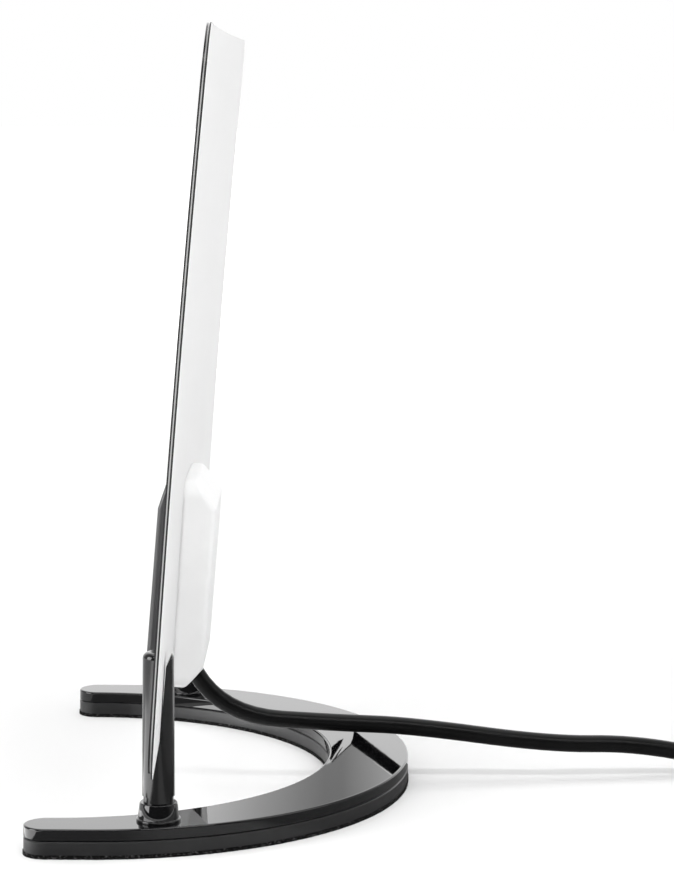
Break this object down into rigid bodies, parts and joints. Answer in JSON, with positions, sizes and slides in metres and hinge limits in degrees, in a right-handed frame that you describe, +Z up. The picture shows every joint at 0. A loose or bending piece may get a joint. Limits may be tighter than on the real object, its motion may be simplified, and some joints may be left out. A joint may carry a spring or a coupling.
{
  "type": "indoor tv antenna",
  "caption": "Flat indoor TV antenna: a slightly dished white-backed panel standing in slotted posts on a crescent base, with a rear cable box and coax lead.",
  "frame": {"origin": "middle of the underside of the box round the antenna, cable left out", "axes": "+Z up, +Y along the panel's width, -X the way the panel's front faces, so the cable leaves towards +X"},
  "size_m": [0.2754, 0.24, 0.2045],
  "materials": {
    "foam_black": "closed-cell foam, rough",
    "satin_black": "moulded ABS, satin",
    "gloss_black": "moulded ABS, high gloss",
    "cover_black": "moulded ABS, semi gloss",
    "panel_black": "moulded polystyrene, semi gloss",
    "panel_white": "polyester sheet, satin",
    "housing_white": "moulded ABS, satin",
    "foil": "rolled foil",
    "steel": "zinc plated",
    "cable_black": "PVC jacket, satin",
    "board_green": "solder resist",
    "tinplate": "tinned",
    "ferrite": "sintered",
    "spring_brass": "rolled strip",
    "nickel": "nickel plated",
    "insulator_white": "polyethylene"
  },
  "bodies": {
    "root": {"foot_pad": "foam_black", "base_bottom_shell": "satin_black", "base_top_shell": "gloss_black", "base_weight": "steel", "base_screws": "steel", "right_post": "satin_black", "left_post": "satin_black", "front_panel": "panel_black", "rear_sheet": "panel_white", "left_element": "foil", "right_element": "foil", "front_cover": "cover_black", "rear_housing": "housing_white", "cable_grommet": "cable_black", "circuit_board": "board_green", "shield_can": "tinplate", "balun_core": "ferrite", "left_contact": "spring_brass", "right_contact": "spring_brass", "coax_cable": "cable_black", "cable_coil": "cable_black", "cable_tie": "satin_black", "plug_body": "satin_black", "plug_sleeve": "nickel", "plug_insulator": "insulator_white", "plug_pin": "nickel"}
  },
  "joints": []
}
